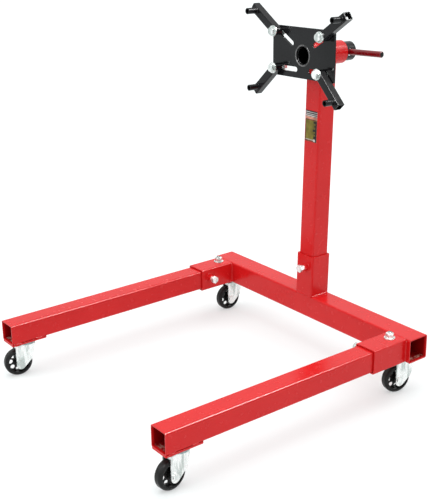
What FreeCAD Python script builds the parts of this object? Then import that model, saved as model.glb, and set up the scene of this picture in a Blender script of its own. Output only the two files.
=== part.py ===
"""Engine stand: a U-shaped frame of square tube on four swivel casters, a post that leans back,
and a turning head with a slotted plate and four arms.

+X is the stand's left-to-right, -Y is the front, where the legs point, and +Z is up. The origin is on the
floor, in the middle of the stand's overall length and width. Millimetres.
"""
import FreeCAD, Part
import math
import os
import re

import Sketcher
from FreeCAD import Placement, Rotation, Vector

SIZES = {
    # Frame
    "crossbar_length": 784,
    "crossbar_front": 294.8,         # the crossbar's front face, ahead of which the legs run
    "frame_tube": 63.5,
    "frame_wall": 3,
    "tube_corner": 4.5,
    "sleeve_wall": 3.5,
    "sleeve_length": 111,
    "sleeve_inset": 12.25,           # from the crossbar's end to the leg sleeve's outer face
    "leg_tube": 54.5,
    "leg_wall": 2.5,
    "leg_reach": 726,                # from the crossbar's front face to the leg's front end
    "leg_gap": 2,                    # between the leg's back end and the crossbar
    "leg_bolt_ahead": 26,            # leg bolt and clamp bolt, ahead of the crossbar
    "clamp_ahead": 84,
    "clamp_rise": 5,                 # leg clamp bolts, above the middle of the sleeve
    "post_lean": 1.6,                # degrees
    "post_sleeve_height": 114,
    "post_clamp_height": 82,
    "post_clamp_offset": 8,
    "post_top": 8,                   # the post's uncut top end, below the head's axis
    # Casters
    "caster_height": 96,
    "caster_pad_length": 100,
    "caster_pad_thickness": 4.5,
    "kingpin_behind": 50,            # front kingpins, behind the leg's front end
    "kingpin_diameter": 12,
    "kingpin_rise": 24,
    "kingpin_head": 4,
    "kingpin_head_diameter": 19,
    "race_outer": 26,                # radii of the upper race
    "race_skirt": 24,
    "race_floor": 3.5,
    "race_depth": 6,
    "lower_race": 23,
    "ball_diameter": 5,
    "ball_circle": 18,
    "ball_height": 4.3,               # the balls' middle, below the mounting face
    "fork_drop": 8,
    "fork_sheet": 3,
    "fork_gap": 25,
    "fork_toe": 12,                  # radius of the fork's lower end
    "fork_toe_ahead": 20,
    "fork_toe_height": 30.7,
    "fork_knee": 15,                 # radius of the bend in the fork's rear edge
    "fork_knee_behind": 12,
    "fork_knee_height": 45,
    "fork_back": 22,
    "fork_lip": 9,                   # depth of the flange folded down across the fork's front
    "fork_bend": 3,
    "trail": 24,
    "wheel_diameter": 75,
    "tread_width": 23,
    "tread_depth": 8,
    "tread_shoulder": 7,
    "hub_width": 24,
    "hub_boss": 10,
    "web_width": 3,
    "rim_depth": 2,
    "rim_inset": 1,
    "wheel_hole": 12,
    "wheel_hole_circle": 21,
    "bush_diameter": 12,
    "axle_diameter": 8,
    "axle_flats": 13,
    "axle_head": 5.3,
    # Fasteners
    "bolt_diameter": 12,
    "bolt_hole": 13,
    "bolt_flats": 19,
    "bolt_head": 7.5,
    "nut_height": 10.8,
    "washer_outer": 28,
    "washer_thickness": 2.5,
    "thread_slack": 0.1,
    "thread_end": 3,                 # of a bolt, beyond its nut
    "clamp_standoff": 21,            # from the sleeve's face to the underside of the clamp bolt's head
    # Head
    "head_rise": 655.5,              # along the post, from the crossbar's top to the head's axis
    "head_ahead": 36,                # from the post sleeve's front to the mounting plate's front
    "head_roll": 1.7,                # degrees
    "collar_outer": 60,
    "collar_start": 12,
    "collar_length": 119,
    "shaft_outer": 50,
    "shaft_wall": 2,
    "shaft_length": 165,
    "running_slack": 0.05,           # radial
    "plate_width": 228,
    "plate_height": 128,
    "plate_thickness": 6,
    "plate_corner": 3,
    "plate_above": 6,                # the plate's centre, above the head's axis
    "slot_width": 13,
    "slot_outer_side": 90,
    "upper_slot_inner_side": 41,
    "upper_slot_inner_rise": 22,     # slot heights are from the plate's centre
    "upper_slot_outer_rise": 51,
    "lower_slot_inner_side": 26,
    "lower_slot_drop": 43,
    "handle_diameter": 16,
    "handle_length": 274,
    "handle_behind": 144,
    "handle_hole": 18.4,
    "handle_tilt": 1.5,              # degrees, as the bar lies in its larger hole
    "handle_chamfer": 1.5,
    "head_clamp_behind": 60,         # from the mounting plate's front to the clamp bolt on the collar
    "head_clamp_slack": 0.3,         # between that bolt's tip and the shaft, with the bolt let off
    # Arms
    "arm_tube": 22,
    "arm_wall": 2,
    "arm_corner": 3,
    "arm_reach": 102,
    "finger_diameter": 16,
    "finger_bore": 11,
    "finger_height": 28,
    "finger_setback": 17,
    "joint_gap": 0.05,               # between the plate, an arm and the washers on either side
    "tool_length": 240,              # of the cylinder that shapes the post's top end
}
LEGS = {"left": -1, "right": 1}
# Each caster: side, at the front or not, and how far it has swivelled, in degrees.
CASTERS = {
    "front_left": (-1, True, -10),
    "front_right": (1, True, 4),
    "rear_left": (-1, False, -2),
    "rear_right": (1, False, -12),
}
# How far each wheel has turned, in degrees: the rise of its foremost hole above the axle.
WHEEL_TURNS = {"front_left": 7, "front_right": -9, "rear_left": 29, "rear_right": -3}
# Each arm: side, which slots it is in, its angle above the plate's side direction in degrees, and how far out
# along that direction its bolt stands.
ARMS = {
    "upper_left": (-1, "upper", 33.5, 89),
    "upper_right": (1, "upper", 33.5, 85),
    "lower_left": (-1, "lower", -42, 89),
    "lower_right": (1, "lower", -46, 78),
}
BALLS_PER_RACE = 18
HOLES_PER_WHEEL = 8

X_AXIS, Y_AXIS, Z_AXIS = Vector(1, 0, 0), Vector(0, 1, 0), Vector(0, 0, 1)
ORIGIN_POINT = (-1, 1)
NEAR = 0.01

doc = FreeCAD.newDocument("EngineStand")
sheet = doc.addObject("Spreadsheet::Sheet", "Sizes")
for row, (name, number) in enumerate(SIZES.items(), start=1):
    sheet.set(f"A{row}", name)
    sheet.set(f"B{row}", str(number))
    sheet.setAlias(f"B{row}", name)
doc.recompute()

subparts = []


def size(name):
    return float(sheet.get(name))


def formula(text):
    """An expression in which each size's name points at its cell."""
    return re.sub(r"[a-z][a-z_]+", lambda word: f"Sizes.{word[0]}" if word[0] in SIZES else word[0], text)


def bind(item, **properties):
    for name, text in properties.items():
        item.setExpression(name.replace("__", "."), formula(text))
    return item


def at(x=0, y=0, z=0, rotation=Rotation()):
    return Placement(Vector(x, y, z), rotation)


def finish(item, label, placement=None):
    """Names a sub-part, puts it in place and lists it for export."""
    item.Label = label
    if placement:
        item.Placement = placement
    subparts.append(item)
    return item


# Sketches and features

def new_body(name):
    return doc.addObject("PartDesign::Body", name)


def new_sketch(body, role="XY_Plane", offset=None):
    sketch = body.newObject("Sketcher::SketchObject", f"{body.Name}_sketch")
    plane = next(item for item in body.Origin.OriginFeatures if item.Role == role)
    sketch.AttachmentSupport = [(plane, "")]
    sketch.MapMode = "FlatFace"
    if offset:
        bind(sketch, AttachmentOffset__Base__z=offset)
    return sketch


def dimension(sketch, text, kind, *place):
    """A driving dimension of the sketch, with its start value and its expression."""
    start = place[-1]
    index = sketch.addConstraint(Sketcher.Constraint(kind, *place[:-1], start))
    name = f"size_{index}"
    sketch.renameConstraint(index, name)
    sketch.setExpression(f"Constraints.{name}", formula(text))


def add_circle(sketch, diameter, across=None, along=None, start=(0, 0)):
    """A circle at the origin, or at distances from it that are bound to sizes."""
    circle = sketch.addGeometry(Part.Circle(Vector(start[0], start[1], 0), Z_AXIS, 5))
    dimension(sketch, diameter, "Diameter", circle, 10)
    for kind, text, value in (("DistanceX", across, start[0]), ("DistanceY", along, start[1])):
        if text:
            dimension(sketch, text, kind, *ORIGIN_POINT, circle, 3, value)
        else:
            on_axis = ("Vertical", "Horizontal")[kind == "DistanceY"]
            sketch.addConstraint(Sketcher.Constraint(on_axis, *ORIGIN_POINT, circle, 3))


def add_rounded_rectangle(sketch, width, height, radius, start):
    """A round-cornered rectangle, centred on the origin. start is its half width, half height and radius."""
    half_x, half_y, corner = start
    first = sketch.GeometryCount
    inner_x, inner_y = half_x - corner, half_y - corner
    corners = ((inner_x, -inner_y, -90), (inner_x, inner_y, 0),
               (-inner_x, inner_y, 90), (-inner_x, -inner_y, 180))
    ends = []
    for x, y, angle in corners:
        circle = Part.Circle(Vector(x, y, 0), Z_AXIS, corner)
        arc = Part.ArcOfCircle(circle, math.radians(angle), math.radians(angle + 90))
        sketch.addGeometry(arc)
        ends.append((arc.StartPoint, arc.EndPoint))
    for index in range(4):
        sketch.addGeometry(Part.LineSegment(ends[index][1], ends[(index + 1) % 4][0]))
    for index in range(4):
        arc, line, following = first + index, first + 4 + index, first + (index + 1) % 4
        sketch.addConstraint(Sketcher.Constraint("Tangent", arc, 2, line, 1))
        sketch.addConstraint(Sketcher.Constraint("Tangent", line, 2, following, 1))
        level = ("Vertical", "Horizontal")[index % 2]
        sketch.addConstraint(Sketcher.Constraint(level, line))
        if index:
            sketch.addConstraint(Sketcher.Constraint("Equal", first, first + index))
    sketch.addConstraint(Sketcher.Constraint("Symmetric", first, 3, first + 2, 3, *ORIGIN_POINT))
    dimension(sketch, radius, "Radius", first, corner)
    dimension(sketch, f"{width} - 2 * ({radius})", "DistanceX", first + 2, 3, first + 1, 3, 2 * inner_x)
    dimension(sketch, f"{height} - 2 * ({radius})", "DistanceY", first, 3, first + 1, 3, 2 * inner_y)


def add_slot(sketch, side, up, inner, outer):
    """A slot between two points, each a pair of size names for its distance out and up or down."""
    points = [Vector(side * size(across), up * size(height), 0) for across, height in (inner, outer)]
    radius = size("slot_width") / 2
    run = points[1] - points[0]
    turn = math.degrees(math.atan2(run.y, run.x))
    first = sketch.GeometryCount
    arcs = []
    for point, angle in zip(points, (turn + 90, turn - 90)):
        circle = Part.Circle(point, Z_AXIS, radius)
        arc = Part.ArcOfCircle(circle, math.radians(angle), math.radians(angle + 180))
        sketch.addGeometry(arc)
        arcs.append(arc)
    sketch.addGeometry(Part.LineSegment(arcs[0].EndPoint, arcs[1].StartPoint))
    sketch.addGeometry(Part.LineSegment(arcs[1].EndPoint, arcs[0].StartPoint))
    for arc, line, following in ((first, first + 2, first + 1), (first + 1, first + 3, first)):
        sketch.addConstraint(Sketcher.Constraint("Tangent", arc, 2, line, 1))
        sketch.addConstraint(Sketcher.Constraint("Tangent", line, 2, following, 1))
    dimension(sketch, "slot_width / 2", "Radius", first, radius)
    for arc, point, (across, height) in zip((first, first + 1), points, (inner, outer)):
        dimension(sketch, f"{side} * {across}", "DistanceX", *ORIGIN_POINT, arc, 3, point.x)
        dimension(sketch, f"{up} * {height}", "DistanceY", *ORIGIN_POINT, arc, 3, point.y)


def add_profile(sketch, points):
    """A closed outline of straight lines. Each point is a pair of expressions with their start values."""
    first = sketch.GeometryCount
    starts = [Vector(across[1], along[1], 0) for across, along in points]
    for index, start in enumerate(starts):
        sketch.addGeometry(Part.LineSegment(start, starts[(index + 1) % len(starts)]))
    for index, (across, along) in enumerate(points):
        line, following = first + index, first + (index + 1) % len(points)
        sketch.addConstraint(Sketcher.Constraint("Coincident", line, 2, following, 1))
        dimension(sketch, across[0], "DistanceX", *ORIGIN_POINT, line, 1, across[1])
        dimension(sketch, along[0], "DistanceY", *ORIGIN_POINT, line, 1, along[1])


def volume(body):
    doc.recompute()
    return body.Shape.Volume


def pad(body, sketch, length, symmetric=False, backwards=False):
    feature = body.newObject("PartDesign::Pad", f"{body.Name}_pad")
    feature.Profile = sketch
    feature.Reversed = backwards
    if symmetric:
        feature.SideType = "Symmetric"
    return bind(feature, Length=length)


def pocket(body, sketch, symmetric=False, backwards=False):
    """A cut through the whole body, from the sketch to one side or to both, that has to remove something."""
    before = volume(body)
    feature = body.newObject("PartDesign::Pocket", f"{body.Name}_pocket")
    feature.Profile = sketch
    feature.Type = "ThroughAll"
    feature.Reversed = backwards
    if symmetric:
        feature.SideType = "Symmetric"
    if volume(body) > before - 1:
        raise RuntimeError(f"{feature.Name} cuts nothing")
    return feature


def revolve(body, sketch, axis):
    feature = body.newObject("PartDesign::Revolution", f"{body.Name}_revolution")
    feature.Profile = sketch
    feature.ReferenceAxis = (sketch, [axis])
    feature.Angle = 360
    return feature


def fillet(body, radius, chosen):
    """Rounds the edges whose middle point is chosen."""
    doc.recompute()
    base = body.Tip
    names = []
    for index, edge in enumerate(base.Shape.Edges, start=1):
        middle = edge.valueAt((edge.FirstParameter + edge.LastParameter) / 2)
        if chosen(middle):
            names.append(f"Edge{index}")
    feature = body.newObject("PartDesign::Fillet", f"{body.Name}_fillet")
    feature.Base = (base, names)
    return bind(feature, Radius=radius)


# Part primitives and booleans

def cylinder(name, radius, height, placement=Placement()):
    item = doc.addObject("Part::Cylinder", name)
    item.Placement = placement
    return bind(item, Radius=radius, Height=height)


def cut(name, base, tool):
    item = doc.addObject("Part::Cut", name)
    item.Base = base
    item.Tool = tool
    return item


def fuse(name, *parts):
    item = doc.addObject("Part::MultiFuse", name)
    item.Shapes = list(parts)
    return item


def common(name, *parts):
    item = doc.addObject("Part::MultiCommon", name)
    item.Shapes = list(parts)
    return item


def group(name, parts, placement=None):
    """Separate solids that share one node."""
    item = doc.addObject("Part::Compound", name)
    item.Links = list(parts)
    return finish(item, name, placement)


def hexagon(name, flats, height, placement=Placement()):
    """A hexagonal head whose top corners are turned off at 30 degrees."""
    prism = doc.addObject("Part::Prism", f"{name}_prism")
    prism.Polygon = 6
    bind(prism, Circumradius=f"{flats} / 2 / cos(30)", Height=height)
    cone = doc.addObject("Part::Cone", f"{name}_cone")
    bind(cone, Radius1=f"{flats} / 2 + {height} / tan(30)", Radius2=f"{flats} / 2", Height=height)
    item = common(name, prism, cone)
    item.Placement = placement
    return item


def bolt(name, diameter, flats, head, shank, placement):
    """A hexagon bolt: head on +Z, the head's underside at zero, the shank below it."""
    shaft = cylinder(f"{name}_shank", f"{diameter} / 2", shank, at(z=0, rotation=Rotation(X_AXIS, 180)))
    item = fuse(name, hexagon(f"{name}_head", flats, head), shaft)
    item.Placement = placement
    return item


def nut(name, diameter, flats, height, placement):
    """A hexagon nut from zero upwards, bored a little larger than its bolt."""
    bore = cylinder(f"{name}_bore", f"{diameter} / 2 + thread_slack / 2", height)
    item = cut(name, hexagon(f"{name}_blank", flats, height), bore)
    item.Placement = placement
    return item


def washer(name, bore, placement):
    """A washer from zero upwards."""
    disc = cylinder(f"{name}_disc", "washer_outer / 2", "washer_thickness")
    item = cut(name, disc, cylinder(f"{name}_bore", f"{bore} / 2", "washer_thickness"))
    item.Placement = placement
    return item


# Frame

leg_side = size("crossbar_length") / 2 - size("sleeve_inset") - size("frame_tube") / 2
frame_top = size("caster_height") + size("frame_tube")
frame_middle = size("caster_height") + size("frame_tube") / 2
crossbar_middle = size("crossbar_front") + size("frame_tube") / 2
leg_front = size("crossbar_front") - size("leg_reach")
TO_REAR = Rotation(X_AXIS, -90)      # turns a tube's own length, +Z, to the rear, and its +Y side down
TO_RIGHT = Rotation(Y_AXIS, 90)
LEAN = Rotation(X_AXIS, -size("post_lean"))
POST = Placement(Vector(0, size("crossbar_front"), frame_top), LEAN)
# The head's axis, before the head is rolled: +Y to the rear, from the mounting plate's front face.
COLLAR = POST * at(0, -size("head_ahead"), size("head_rise"))
TUBE_STEP = "frame_tube / 2 - leg_tube / 2"


def square_tube(name, outer, wall, length, corner="tube_corner"):
    """A square tube along its own +Z, from zero."""
    body = new_body(name)
    section = new_sketch(body)
    half, radius, thickness = size(outer) / 2, size(corner), size(wall)
    add_rounded_rectangle(section, outer, outer, corner, (half, half, radius))
    inside = f"{outer} - 2 * {wall}"
    start = (half - thickness, half - thickness, radius - thickness)
    add_rounded_rectangle(section, inside, inside, f"{corner} - {wall}", start)
    pad(body, section, length)
    return body


def drill(body, role, diameter, across, along, start, **reach):
    """A hole across a tube, from its middle plane through one wall or both."""
    sketch = new_sketch(body, role)
    add_circle(sketch, diameter, across, along, start)
    pocket(body, sketch, **reach)


def make_crossbar():
    body = square_tube("rear_crossbar", "frame_tube", "frame_wall", "crossbar_length")
    middle = size("crossbar_length") / 2
    leg_offset = "(crossbar_length / 2 - sleeve_inset - frame_tube / 2)"
    for side in LEGS.values():
        along = f"crossbar_length / 2 + {side} * {leg_offset}"
        drill(body, "YZ_Plane", "bolt_hole", None, along, (0, middle + side * leg_side), backwards=True)
    finish(body, "rear_crossbar", at(-middle, crossbar_middle, frame_middle, TO_RIGHT))


def make_leg_sleeve(name, side):
    body = square_tube(f"leg_sleeve_{name}", "frame_tube", "sleeve_wall", "sleeve_length")
    start = (0, size("sleeve_length") - size("leg_bolt_ahead"))
    drill(body, "XZ_Plane", "bolt_hole", None, "sleeve_length - leg_bolt_ahead", start, symmetric=True)
    start = (-size("clamp_rise"), size("sleeve_length") - size("clamp_ahead"))
    along = "sleeve_length - clamp_ahead"
    drill(body, "YZ_Plane", "bolt_hole", "-clamp_rise", along, start, backwards=side < 0)
    sleeve_front = size("crossbar_front") - size("sleeve_length")
    finish(body, f"leg_sleeve_{name}", at(side * leg_side, sleeve_front, frame_middle, TO_REAR))


def make_leg(name, side):
    body = square_tube(f"leg_{name}", "leg_tube", "leg_wall", "leg_reach - leg_gap")
    start = (0, size("leg_reach") - size("leg_bolt_ahead"))
    drill(body, "XZ_Plane", "bolt_hole", None, "leg_reach - leg_bolt_ahead", start, symmetric=True)
    start = (0, size("kingpin_behind"))
    drill(body, "XZ_Plane", "bolt_hole", None, "kingpin_behind", start)
    finish(body, f"leg_{name}", at(side * leg_side, leg_front, frame_middle, TO_REAR))


def make_caster_pad(name, side):
    """The plate welded under a leg's front end, which fills the step up to the smaller tube."""
    body = new_body(f"caster_pad_{name}")
    outline = new_sketch(body)
    start = (size("leg_tube") / 2, size("caster_pad_length") / 2, size("plate_corner"))
    add_rounded_rectangle(outline, "leg_tube", "caster_pad_length", "plate_corner", start)
    add_circle(outline, "bolt_hole")
    pad(body, outline, "caster_pad_thickness")
    middle = leg_front + size("caster_pad_length") / 2
    finish(body, f"caster_pad_{name}", at(side * leg_side, middle, size("caster_height")))


def trim_box(name, placement):
    """A block under the crossbar's top, which trims what stands on it."""
    block = doc.addObject("Part::Box", name)
    bind(block, Length="2 * frame_tube", Width="3 * frame_tube", Height="frame_tube")
    block.Placement = placement
    return block


def make_post_sleeve():
    """The sleeve starts below the crossbar's top and is trimmed to it: it leans and still sits flat."""
    tube = square_tube("post_sleeve_tube", "frame_tube", "sleeve_wall", "post_sleeve_height + leg_gap")
    start = (size("post_clamp_offset"), size("post_clamp_height") + size("leg_gap"))
    along = "post_clamp_height + leg_gap"
    drill(tube, "XZ_Plane", "bolt_hole", "post_clamp_offset", along, start, backwards=True)
    tube.Placement = POST * at(0, size("frame_tube") / 2, -size("leg_gap"))
    tube_size = size("frame_tube")
    corner = at(-tube_size, size("crossbar_front") - tube_size, frame_top - tube_size)
    finish(cut("post_sleeve", tube, trim_box("post_sleeve_trim", corner)), "post_sleeve")


def make_post():
    """The post's top end is cut round to take the collar."""
    foot = size("leg_gap")
    tube = square_tube("post_tube", "leg_tube", "leg_wall", "head_rise - leg_gap - post_top")
    tube.Placement = POST * at(0, size("frame_tube") / 2, foot)
    saddle = cylinder("post_saddle", "collar_outer / 2", "tool_length")
    saddle.Placement = POST * at(0, -size("frame_tube"), size("head_rise"), TO_REAR)
    finish(cut("post", tube, saddle), "post")


# Casters

def caster_place(side, front, swivel):
    y = leg_front + size("kingpin_behind") if front else crossbar_middle
    return Placement(Vector(side * leg_side, y, size("caster_height")), Rotation(Z_AXIS, swivel))


axle_height = size("wheel_diameter") / 2 - size("caster_height")
AXLE = at(0, -size("trail"), axle_height, TO_RIGHT)      # turns +Z along the axle, to the right


def make_kingpins():
    """Head under the fork, shank up through the races, the mounting face and the tube's wall."""
    pins, washers, nuts = [], [], []
    for name, (side, front, swivel) in CASTERS.items():
        place = caster_place(side, front, swivel)
        drop = size("fork_drop") + size("fork_sheet") + 2 * size("running_slack")
        head = cylinder(f"kingpin_head_{name}", "kingpin_head_diameter / 2", "kingpin_head")
        head.Placement = at(z=-drop - size("kingpin_head"))
        rise = "kingpin_rise + fork_drop + fork_sheet + 2 * running_slack"
        rise += " + caster_pad_thickness" if front else ""
        shank = cylinder(f"kingpin_shank_{name}", "kingpin_diameter / 2", rise, at(z=-drop))
        pins.append(fuse(f"kingpin_{name}", head, shank))
        pins[-1].Placement = place
        floor = size("caster_pad_thickness") + size("leg_wall") if front else size("frame_wall")
        washers.append(washer(f"kingpin_washer_{name}", "bolt_hole", place * at(z=floor)))
        on_washer = place * at(z=floor + size("washer_thickness"))
        nuts.append(nut(f"kingpin_nut_{name}", "bolt_diameter", "bolt_flats", "nut_height", on_washer))
    group("kingpins", pins)
    return washers, nuts


def make_upper_races():
    """Pressed cups with a groove for the balls and a skirt down over the fork's race."""
    races = []
    for name, place in CASTERS.items():
        body = new_body(f"upper_race_{name}")
        sketch = new_sketch(body, "XZ_Plane")
        outer, inner = size("race_outer"), size("race_skirt")
        bore = size("kingpin_diameter") / 2 + size("running_slack")
        floor_low, skirt_low = -size("race_floor"), -size("race_depth")
        add_profile(sketch, [
            (("kingpin_diameter / 2 + running_slack", bore), ("0 * race_outer", 0)),
            (("race_outer", outer), ("0 * race_outer", 0)),
            (("race_outer", outer), ("-race_depth", skirt_low)),
            (("race_skirt", inner), ("-race_depth", skirt_low)),
            (("race_skirt", inner), ("-race_floor", floor_low)),
            (("kingpin_diameter / 2 + running_slack", bore), ("-race_floor", floor_low)),
        ])
        revolve(body, sketch, "V_Axis")
        groove = doc.addObject("Part::Torus", f"upper_groove_{name}")
        bind(groove, Radius1="ball_circle", Radius2="ball_diameter / 2 + running_slack")
        groove.Placement = at(z=-size("ball_height"))
        races.append(cut(f"upper_race_cup_{name}", body, groove))
        races[-1].Placement = caster_place(*place)
    group("caster_upper_races", races)


def make_balls():
    balls = []
    for name, place in CASTERS.items():
        for index in range(BALLS_PER_RACE):
            ball = doc.addObject("Part::Sphere", f"ball_{name}_{index}")
            bind(ball, Radius="ball_diameter / 2")
            angle = Rotation(Z_AXIS, 360 * index / BALLS_PER_RACE)
            ring = Placement(Vector(), angle) * at(size("ball_circle"), 0, -size("ball_height"))
            ball.Placement = caster_place(*place) * ring
            balls.append(ball)
    group("caster_balls", balls)


def fork_outline(sketch):
    """The fork from its side: down its front edge, round its toe, up to the knee, then up its rear edge."""
    top, radius = -size("fork_drop"), size("fork_toe")
    centre = Vector(-size("fork_toe_ahead"), size("fork_toe_height") - size("caster_height"), 0)
    knee = Vector(size("fork_knee_behind"), size("fork_knee_height") - size("caster_height"), 0)
    run = knee - centre
    slope = math.atan2(run.y, run.x) - math.acos(radius / run.Length)
    foot = centre + Vector(radius * math.cos(slope), radius * math.sin(slope), 0)
    front = centre - Vector(radius, 0, 0)
    front_top, back_top = Vector(front.x, top, 0), Vector(size("fork_back"), top, 0)
    sketch.addGeometry(Part.LineSegment(front_top, front))
    sketch.addGeometry(Part.ArcOfCircle(Part.Circle(centre, Z_AXIS, radius), math.pi, 2 * math.pi + slope))
    sketch.addGeometry(Part.LineSegment(foot, knee))
    sketch.addGeometry(Part.LineSegment(knee, back_top))
    sketch.addGeometry(Part.LineSegment(back_top, front_top))
    sketch.addConstraint(Sketcher.Constraint("Tangent", 0, 2, 1, 1))
    sketch.addConstraint(Sketcher.Constraint("Tangent", 1, 2, 2, 1))
    for line, following in ((2, 3), (3, 4), (4, 0)):
        sketch.addConstraint(Sketcher.Constraint("Coincident", line, 2, following, 1))
    sketch.addConstraint(Sketcher.Constraint("Vertical", 0))
    sketch.addConstraint(Sketcher.Constraint("Horizontal", 4))
    dimension(sketch, "fork_toe", "Radius", 1, radius)
    dimension(sketch, "-fork_toe_ahead", "DistanceX", *ORIGIN_POINT, 1, 3, centre.x)
    dimension(sketch, "fork_toe_height - caster_height", "DistanceY", *ORIGIN_POINT, 1, 3, centre.y)
    dimension(sketch, "fork_knee_behind", "DistanceX", *ORIGIN_POINT, 3, 1, knee.x)
    dimension(sketch, "fork_knee_height - caster_height", "DistanceY", *ORIGIN_POINT, 3, 1, knee.y)
    dimension(sketch, "-fork_drop", "DistanceY", *ORIGIN_POINT, 4, 1, top)
    dimension(sketch, "fork_back", "DistanceX", *ORIGIN_POINT, 4, 1, back_top.x)
    return knee


def make_fork(name, place):
    """A folded fork: a flat top with the lower race on it, a lip in front, and two legs down to the axle."""
    body = new_body(f"fork_{name}")
    side_view = new_sketch(body, "YZ_Plane")
    top = -size("fork_drop")
    knee = fork_outline(side_view)
    pad(body, side_view, "fork_gap + 2 * fork_sheet", symmetric=True)
    fillet(body, "fork_knee", lambda point: math.hypot(point.y - knee.x, point.z - knee.y) < NEAR)
    width = size("fork_gap") / 2 + size("fork_sheet")
    fillet(body, "fork_bend", lambda point: abs(abs(point.x) - width) < NEAR and abs(point.z - top) < NEAR)
    gap = new_sketch(body, "XZ_Plane")
    half_gap, low = size("fork_gap") / 2, -size("caster_height")
    under = top - size("fork_sheet")
    add_profile(gap, [
        (("-fork_gap / 2", -half_gap), ("-caster_height", low)),
        (("fork_gap / 2", half_gap), ("-caster_height", low)),
        (("fork_gap / 2", half_gap), ("-fork_drop - fork_sheet", under)),
        (("-fork_gap / 2", -half_gap), ("-fork_drop - fork_sheet", under)),
    ])
    pocket(body, gap, symmetric=True)
    race = new_sketch(body, offset="-fork_drop")
    add_circle(race, "2 * lower_race")
    pad(body, race, "fork_sheet")
    bore = new_sketch(body)
    add_circle(bore, "kingpin_diameter + 2 * running_slack")
    pocket(body, bore, symmetric=True)
    axle = new_sketch(body, "YZ_Plane")
    across, along = "-trail", "wheel_diameter / 2 - caster_height"
    add_circle(axle, "axle_diameter + thread_slack", across, along, (-size("trail"), axle_height))
    pocket(body, axle, symmetric=True)
    groove = doc.addObject("Part::Torus", f"fork_groove_{name}")
    bind(groove, Radius1="ball_circle", Radius2="ball_diameter / 2 + running_slack")
    groove.Placement = at(z=-size("ball_height"))
    lip = doc.addObject("Part::Box", f"fork_lip_{name}")
    bind(lip, Length="fork_gap", Width="fork_sheet", Height="fork_lip")
    lip.Placement = at(-half_gap, -size("fork_toe_ahead") - size("fork_toe"), top - size("fork_lip"))
    grooved = cut(f"fork_grooved_{name}", body, groove)
    finish(fuse(f"caster_fork_{name}", grooved, lip), f"caster_fork_{name}", caster_place(*place))


def make_axle(name, place):
    outside = size("fork_gap") / 2 + size("fork_sheet")
    head = bolt(f"axle_{name}", "axle_diameter", "axle_flats", "axle_head",
                "fork_gap + 2 * fork_sheet + axle_head + thread_end", AXLE * at(z=outside))
    finish(head, f"axle_bolt_{name}", caster_place(*place) * head.Placement)
    turned = AXLE * at(z=-outside, rotation=Rotation(X_AXIS, 180))
    end = nut(f"axle_end_{name}", "axle_diameter", "axle_flats", "axle_head", turned)
    finish(end, f"axle_nut_{name}", caster_place(*place) * end.Placement)
    tube = cylinder(f"bush_tube_{name}", "bush_diameter / 2", "fork_gap")
    bore = cylinder(f"bush_bore_{name}", "axle_diameter / 2 + thread_slack / 2", "fork_gap")
    bush = cut(f"axle_bush_{name}", tube, bore)
    finish(bush, f"axle_bush_{name}", caster_place(*place) * AXLE * at(z=-size("fork_gap") / 2))


def make_wheel(name, place):
    """A moulded hub whose web has a ring of round holes, and a thick tyre with round shoulders."""
    hub = new_body(f"hub_{name}")
    section = new_sketch(hub, "XZ_Plane")
    bore = size("bush_diameter") / 2 + size("running_slack")
    boss = size("hub_boss")
    rim_outer = size("wheel_diameter") / 2 - size("tread_depth")
    rim_inner = rim_outer - size("rim_depth")
    half_hub, half_web = size("hub_width") / 2, size("web_width") / 2
    half_rim = size("tread_width") / 2 - size("rim_inset")
    bore_text = "bush_diameter / 2 + running_slack"
    outer_text = "wheel_diameter / 2 - tread_depth"
    inner_text = "wheel_diameter / 2 - tread_depth - rim_depth"
    rim_text = "(tread_width / 2 - rim_inset)"
    add_profile(section, [
        ((bore_text, bore), ("-hub_width / 2", -half_hub)),
        (("hub_boss", boss), ("-hub_width / 2", -half_hub)),
        (("hub_boss", boss), ("-web_width / 2", -half_web)),
        ((inner_text, rim_inner), ("-web_width / 2", -half_web)),
        ((inner_text, rim_inner), (f"-{rim_text}", -half_rim)),
        ((outer_text, rim_outer), (f"-{rim_text}", -half_rim)),
        ((outer_text, rim_outer), (rim_text, half_rim)),
        ((inner_text, rim_inner), (rim_text, half_rim)),
        ((inner_text, rim_inner), ("web_width / 2", half_web)),
        (("hub_boss", boss), ("web_width / 2", half_web)),
        (("hub_boss", boss), ("hub_width / 2", half_hub)),
        ((bore_text, bore), ("hub_width / 2", half_hub)),
    ])
    revolve(hub, section, "V_Axis")
    hole = new_sketch(hub)
    add_circle(hole, "wheel_hole", "wheel_hole_circle", None, (size("wheel_hole_circle"), 0))
    cut_hole = pocket(hub, hole, symmetric=True)
    pattern = hub.newObject("PartDesign::PolarPattern", f"hub_holes_{name}")
    pattern.Originals = [cut_hole]
    pattern.Axis = (hole, ["N_Axis"])
    pattern.Angle = 360
    pattern.Occurrences = HOLES_PER_WHEEL
    hub.Tip = pattern
    turned = caster_place(*place) * AXLE * at(rotation=Rotation(Z_AXIS, -WHEEL_TURNS[name]))
    finish(hub, f"wheel_hub_{name}", turned)

    tyre = new_body(f"tyre_{name}")
    ring = new_sketch(tyre)
    add_circle(ring, "wheel_diameter")
    add_circle(ring, "wheel_diameter - 2 * tread_depth")
    pad(tyre, ring, "tread_width", symmetric=True)
    outer_radius = size("wheel_diameter") / 2
    fillet(tyre, "tread_shoulder", lambda point: abs(math.hypot(point.x, point.y) - outer_radius) < NEAR
           and abs(point.z) > NEAR)
    finish(tyre, f"wheel_tyre_{name}", turned)


# Fasteners of the frame

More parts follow.
